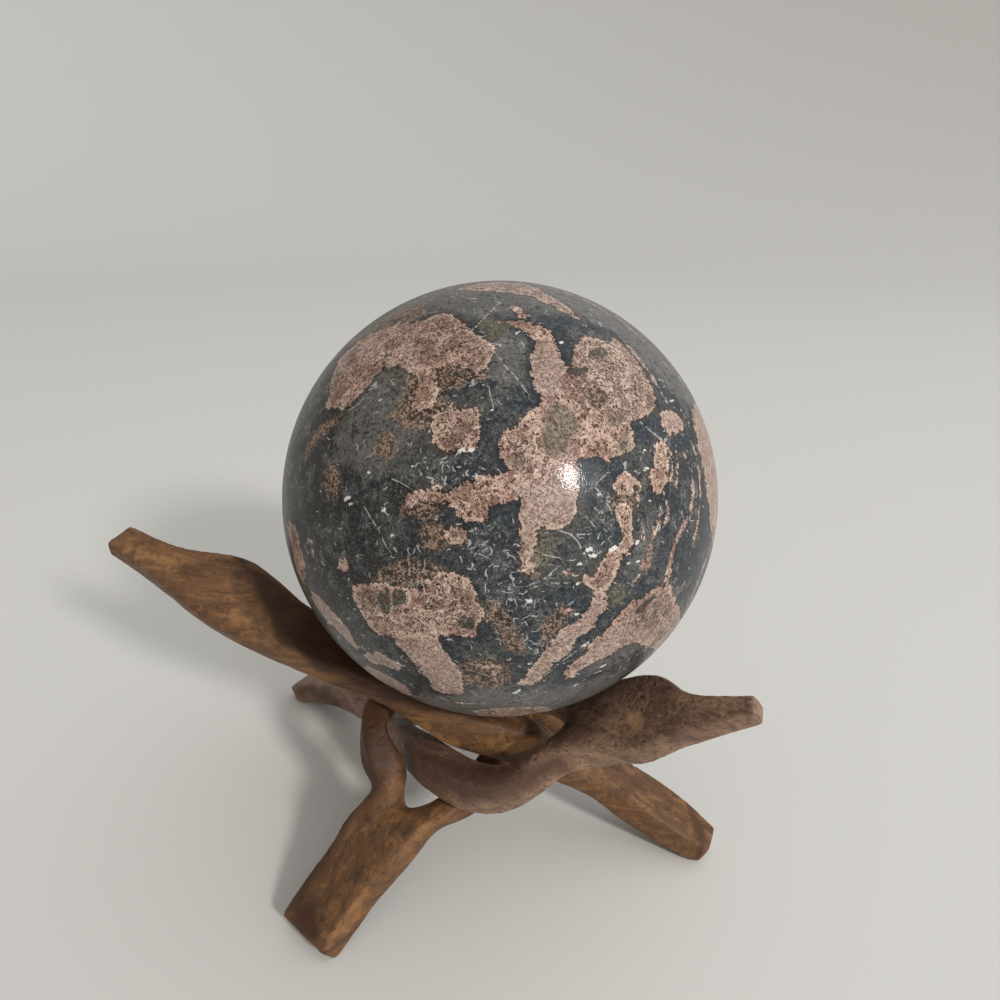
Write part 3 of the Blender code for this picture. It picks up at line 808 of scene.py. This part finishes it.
# Weathered grey zones.
GREY = {
    "left": [
        ([.07, -1.03, .18, -1.03, .18, -1.09, .08, -1.09], .03, .8),
    ],
    "right": [
        ([-.36, -1.16, -.3, -1.18, -.24, -1.22, -.18, -1.2, -.22, -1.26, -.28, -1.27, -.32, -1.22], .02, 1),
        ([-.3, -1.28, .05, -1.3, .1, -1.4, -.15, -1.45, -.28, -1.38], .06, .6),
        ([.52, -1.04, .68, -1.06, .7, -1.11, .56, -1.12], .03, .6),
        ([.7, -.86, .85, -.84, .95, -.95, .9, -1.04, .74, -1], .08, .45),
        ([1.16, -.915, 1.225, -.91, 1.24, -.97, 1.21, -1.05, 1.16, -1.03], .008, .7),
    ],
    "back": [],
}

# Thin broken rings on the right stick: place and radius.
RING_STICK = "right"
RINGS = [
    (.69, -.835, .03), (.69, -.835, .01), (.65, -.94, .04), (.625, -.935, .052), (.66, -.965, .02),
    (.597, -.955, .016),
]


# -------- the wood

VOXEL = 0.36 * MM
SMOOTH_PASSES = 8
# How far the surface is averaged to find its edges and hollows.
EDGE_PASSES = 6
# Cuts along the stick: how much shorter across than along, size, seed, and depth in millimetres.
CUTS = [(0.30, 6.0 * MM, 3.1, 0.30), (0.30, 2.2 * MM, 9.7, 0.12), (0.22, 0.8 * MM, 5.3, 0.05)]
PIT_DEPTH = 0.12


def seen_place(points):
    """Where the viewer sees points of the row, across and up."""
    local = (points - np.array(BALL_CENTRE)) @ VIEW_AXES
    depth = VIEW_DISTANCE - local[:, 2]
    return local[:, :2] / depth[:, None] / FACE_SLOPE


def seen_zones(places, zones):
    """How strongly each place lies in soft-edged zones, 0 to 1."""
    strength = np.zeros(len(places))
    for outline, soft, most in zones:
        depth = patch_depth(places, places_of(outline))
        strength = np.maximum(strength, most * step(-soft, soft, depth))
    return strength


def neighbour_mean(values, ends, count):
    """Each point's mean over the points it shares an edge with."""
    total = np.zeros_like(values)
    for column in range(values.shape[1]):
        total[:, column] = (np.bincount(ends[:, 0], values[ends[:, 1], column], count)
                            + np.bincount(ends[:, 1], values[ends[:, 0], column], count))
    degree = np.bincount(ends.ravel(), minlength=count)
    return total / degree[:, None]


def fine_mesh(node, name):
    """The stick's own shape on a fine even mesh."""
    mesh = bmesh.new()
    mesh.from_mesh(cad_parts[node].data)
    bmesh.ops.remove_doubles(mesh, verts=mesh.verts, dist=0.01 * MM)
    data = bpy.data.meshes.new(name)
    mesh.to_mesh(data)
    mesh.free()
    obj = new_object(name, data)
    remesh = obj.modifiers.new("remesh", "REMESH")
    remesh.mode = "VOXEL"
    remesh.voxel_size = VOXEL
    remesh.use_smooth_shade = True
    bpy.context.view_layer.update()
    graph = bpy.context.evaluated_depsgraph_get()
    fine = bpy.data.meshes.new_from_object(obj.evaluated_get(graph))
    fine.name = name
    obj.modifiers.clear()
    obj.data = fine
    return obj


def read(items, key, width, kind=float):
    values = np.empty(len(items) * width, kind)
    items.foreach_get(key, values)
    return values.reshape(-1, width)


def move_points(data, points):
    data.vertices.foreach_set("co", points.ravel())
    data.update()


def fractal(points, size, seed):
    """Smooth noise of about the given size in metres, from -1 to 1."""
    return np.array([noise.noise(Vector(p)) for p in points / size + seed])


def carve(data, azimuth):
    """Smooths the stick, then cuts knife facets, grain and small pits into it."""
    count = len(data.vertices)
    points = read(data.vertices, "co", 3)
    ends = read(data.edges, "vertices", 2, np.int32)
    floor_height = points[:, 2].min()
    for _ in range(SMOOTH_PASSES):
        points = points * 0.5 + neighbour_mean(points, ends, count) * 0.5
    points[:, 2] = np.maximum(points[:, 2], floor_height)
    move_points(data, points)
    normals = read(data.vertices, "normal", 3)
    averaged = points
    for _ in range(EDGE_PASSES):
        averaged = neighbour_mean(averaged, ends, count)
    edge = ((points - averaged) * normals).sum(axis=1) / MM
    places = seen_place(points)
    facing = normals @ VIEW_AXES[:, 2]

    turned = points @ np.array(Matrix.Rotation(math.radians(-azimuth), 3, "Z")).T
    pit = fractal(points, 1.3 * MM, 1.9)
    depth = sum(deep * np.abs(fractal(turned * np.array((squeeze, 1.0, 1.0)), size, seed))
                for squeeze, size, seed, deep in CUTS)
    depth += PIT_DEPTH * step(0.52, 0.70, pit)
    # The soles stay flat.
    depth *= step(0.2, 2.0, points[:, 2] / MM)
    points = points - normals * (depth * MM)[:, None]
    move_points(data, points)
    return points, places, facing, edge, pit


def wood_fields(stick, points, places, facing, edge, pit):
    """The fields that the wood's material reads: zones on the seen sides and patches on the hidden ones."""
    seen = step(-0.05, 0.15, facing)
    hidden = 1.0 - seen
    wander = np.stack([fractal(points, 5.0 * MM, seed) for seed in (4.4, 7.7)], axis=1) * 0.03
    stain_and_shade, wear_and_light, grey = (seen_zones(places + wander, zones[stick]) * seen for zones in (SHADE_AND_STAINS, WEAR_AND_LIGHT, GREY))
    broad = fractal(points, 14.0 * MM, 2.2)
    from_ball = (np.linalg.norm(points - np.array(BALL_CENTRE), axis=1) - BALL_RADIUS) / MM
    # Darker: random patches on the hidden sides, painted shade near the ball and in hollows, and darker in
    # the small pits.
    for dark in (hidden * step(0.05, 0.5, broad) * 0.7, 0.55 * step(7.0, 0.5, from_ball),
                 0.6 * step(-0.06, -0.22, edge), 0.45 * step(0.55, 0.70, pit)):
        stain_and_shade = np.maximum(stain_and_shade, dark)
    # Lighter: random patches on the hidden sides, and lighter along sharp outer edges.
    for pale in (hidden * step(0.10, 0.6, -broad) * 0.6, 0.55 * step(0.10, 0.30, edge)):
        wear_and_light = np.maximum(wear_and_light, pale)
    ring = np.full(len(points), NO_MARK)
    if stick == RING_STICK:
        for across, up, radius in RINGS:
            far = (np.hypot(places[:, 0] - across, (places[:, 1] - up) * 1.1) - radius) * RADIUS_MM
            ring = np.where((np.abs(far) < np.abs(ring)) & (facing > 0.1), far, ring)
    return {"stain_and_shade": stain_and_shade, "wear_and_light": wear_and_light * (1 - 0.6 * stain_and_shade), "grey": grey, "ring": ring}


def wood_material(name, azimuth, rough_cut, base, dark, light):
    s = Shader(bpy.data.materials.new(name))
    share, ramp = s.share, s.ramp
    turned = s.place(s.coords(), rotation=(0.0, 0.0, math.radians(-azimuth)))
    grain = s.place(turned, scale=(0.16, 1.0, 1.0))
    short = s.place(turned, scale=(0.45, 1.0, 1.0))
    streak = s.noise(grain, 520.0, 4.0, 0.55, 0.5)
    fibre = s.noise(grain, 2600.0, 3.0, 0.6)
    cloud = s.noise(short, 170.0, 4.0, 0.6, 0.6)
    blotch = s.noise(turned, 420.0, 3.0, 0.6, 0.6)
    speck = s.noise(turned, 2200.0, 3.0, 0.65)
    pore = s.noise(short, 1900.0, 1.0, 0.6, 0.2)

    def uneven(field, first, first_gain, second, second_gain):
        """A field moved by two noises."""
        moved = s.math("ADD", s.centred(first, first_gain), s.centred(second, second_gain))
        return s.math("ADD", s.mark(field), moved)

    # Wear and painted light: lighter in worn zones and in zones painted as lit, with bright specks where it
    # is strongest.
    worn_and_lit = uneven("wear_and_light", blotch, 1.6, speck, 0.8)
    bloom = share(ramp(s.mark("wear_and_light"), 0.75, 1.0), ramp(speck, 0.44, 0.60))
    grey = uneven("grey", blotch, 2.2, speck, 1.4)
    # Stain and painted shade: darker in stained zones and in zones painted as shaded, in a deep red-brown.
    stain_and_shade = uneven("stain_and_shade", streak, 0.7, blotch, 0.7)
    deep = blended(tuple(c * 0.40 for c in dark[:3]) + (1.0,), paint(62, 34, 24), 0.6)
    # Rings: a light crest on each, with a dark line of painted shade just inside it.
    ring = uneven("ring", speck, 0.5, blotch, 1.6)
    crest = s.math("ABSOLUTE", ring)
    ring_shade = s.math("ABSOLUTE", s.math("ADD", ring, 0.34))
    broken = ramp(streak, 0.40, 0.56)
    color = s.layered(
        s.mix(ramp(cloud, 0.36, 0.64), blended(base, dark, 0.40), base),
        (ramp(blotch, 0.52, 0.66), 0.28, light),
        (ramp(blotch, 0.47, 0.34), 0.36, dark),
        (ramp(streak, 0.54, 0.66), 0.46, light),
        (ramp(streak, 0.47, 0.34), 0.66, dark),
        (ramp(fibre, 0.46, 0.36), 0.38, dark),
        (ramp(speck, 0.41, 0.35), 0.50, dark),
        (ramp(pore, 0.38, 0.32), rough_cut, blended(dark, paint(40, 28, 22), 0.5)),
        (ramp(pore, 0.62, 0.70), rough_cut * 0.6, light),
        # painted light and wear
        (ramp(worn_and_lit, 0.25, 0.85), s.mark("wear_and_light"), light),
        (bloom, 0.55, blended(light, paint(190, 150, 104), 0.6)),
        (ramp(grey, 0.45, 0.95), 0.65, paint(126, 113, 96)),
        # painted shade and stains
        (ramp(stain_and_shade, 0.12, 0.95), 0.80, deep),
        (share(ramp(crest, 0.22, 0.05), broken), 0.45, paint(160, 126, 92)),
        # painted shade just inside each ring
        (share(ramp(ring_shade, 0.24, 0.06), broken), 0.60, paint(40, 27, 20)),
    )

    height = s.total(share(fibre, 0.6), share(speck, 0.6), share(pore, rough_cut),
                     share(share(ramp(crest, 0.30, 0.0), broken), 0.8))
    rough = ramp(cloud, 0.35, 0.65, 0.44, 0.62)
    return s.finish(Base_Color=color, Roughness=rough, Normal=s.bump(height, 0.75, 0.00025),
                    Specular_IOR_Level=0.28)


def make_stick(stick, azimuth, rough_cut, base, dark, light):
    node, name, slot = "stand_stick_" + stick, "carved_stick_" + stick, "wood_" + stick
    obj = fine_mesh(node, name)
    data = obj.data
    add_fields(data, wood_fields(stick, *carve(data, azimuth)))
    data.shade_smooth()
    data.materials.clear()
    data.materials.append(wood_material(name + "_wood", azimuth, rough_cut, base, dark, light))
    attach(obj, "root")
    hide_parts(node)


make_ball()
# Each stick: the way it points in degrees, how rough its cut is, and its own, dark and light tones.
make_stick("left", 170.0, 0.25, paint(108, 77, 51), paint(70, 48, 34), paint(148, 108, 68))
make_stick("right", -35.6, 0.55, paint(140, 112, 93), paint(82, 61, 50), paint(176, 138, 106))
make_stick("back", 52.0, 0.25, paint(110, 78, 51), paint(64, 44, 31), paint(146, 102, 61))

# -------- stage, light and camera

FLOOR_FLAT = 1.1
FLOOR_CURVE = 1.6
FLOOR_RISE = 54
FLOOR_SIDES = 128
LIGHT_DISTANCE = 2.0
AIR_LEFT = (0.25, 0.22, 0.18, 1)
AIR_RIGHT = (0.84, 0.85, 0.87, 1)
LENS = 27.04
SENSOR = 36.0
LENS_SHIFT = -0.0015


def make_floor():
    """A pale round floor whose far edge curves up."""
    profile = [(FLOOR_FLAT * part / 4, 0.0) for part in (1, 2, 3)]
    for degrees in range(0, FLOOR_RISE + 1, 2):
        angle = math.radians(degrees)
        profile.append((FLOOR_FLAT + FLOOR_CURVE * math.sin(angle), FLOOR_CURVE * (1.0 - math.cos(angle))))
    data = bpy.data.meshes.new("floor")
    verts = [(0.0, 0.0, 0.0)]
    for radius, height in profile:
        for side in range(FLOOR_SIDES):
            around = 2 * math.pi * side / FLOOR_SIDES
            verts.append((radius * math.cos(around), radius * math.sin(around), height))
    faces = [(0, 1 + side, 1 + (side + 1) % FLOOR_SIDES) for side in range(FLOOR_SIDES)]
    for ring in range(len(profile) - 1):
        inner = 1 + ring * FLOOR_SIDES
        outer = inner + FLOOR_SIDES
        for side in range(FLOOR_SIDES):
            after = (side + 1) % FLOOR_SIDES
            faces.append((inner + side, outer + side, outer + after, inner + after))
    data.from_pydata(verts, [], faces)
    data.shade_smooth()
    s = Shader(bpy.data.materials.new("floor_paint"))
    data.materials.append(s.finish(Base_Color=paint(208, 207, 203), Roughness=0.7, Specular_IOR_Level=0.2))
    floor = new_object("floor", data)


def hang_lamp(lamp, azimuth, elevation, strength, color):
    """Puts a lamp where it shines at the ball."""
    lamp.energy = strength
    lamp.color = color
    obj = link(bpy.data.objects.new(lamp.name, lamp))
    a, e = math.radians(azimuth), math.radians(elevation)
    back = Vector((math.cos(a) * math.cos(e), math.sin(a) * math.cos(e), math.sin(e)))
    obj.location = BALL_CENTRE + back * LIGHT_DISTANCE
    obj.rotation_mode = "QUATERNION"
    obj.rotation_quaternion = back.to_track_quat("Z", "Y")
    return obj


def room_air():
    """Soft light from all round, brighter on the right."""
    s = Shader(bpy.data.worlds.new("room"), "Background")
    right = s.node("SeparateXYZ", {0: s.coords("Generated")}).outputs["X"]
    blend = s.node("MapRange", {"Value": right, "From Min": -1.0}).outputs[0]
    bpy.context.scene.world = s.finish(Color=s.mix(blend, AIR_LEFT, AIR_RIGHT))


make_floor()
room_air()
window = bpy.data.lights.new("window", "AREA")
window.shape = "RECTANGLE"
window.size, window.size_y = 0.20, 0.26
hang_lamp(window, -52.0, 28.0, 27.0, (1.0, 0.985, 0.96))
room = bpy.data.lights.new("room", "SUN")
room.angle = math.radians(70.0)
hang_lamp(room, 10.0, 60.0, 0.55, (1.0, 1.0, 1.0)).visible_glossy = False

camera_data = bpy.data.cameras.new("camera")
camera_data.sensor_width = SENSOR
camera_data.lens = LENS
camera_data.shift_y = LENS_SHIFT
camera_data.clip_start = 5 * MM
camera = link(bpy.data.objects.new("camera", camera_data))
camera.location = VIEW_POINT
camera.rotation_euler = (math.pi / 2 - VIEW_PITCH, 0.0, 0.0)
bpy.context.scene.camera = camera
bpy.context.scene.view_settings.view_transform = "Standard"

bpy.context.view_layer.update()
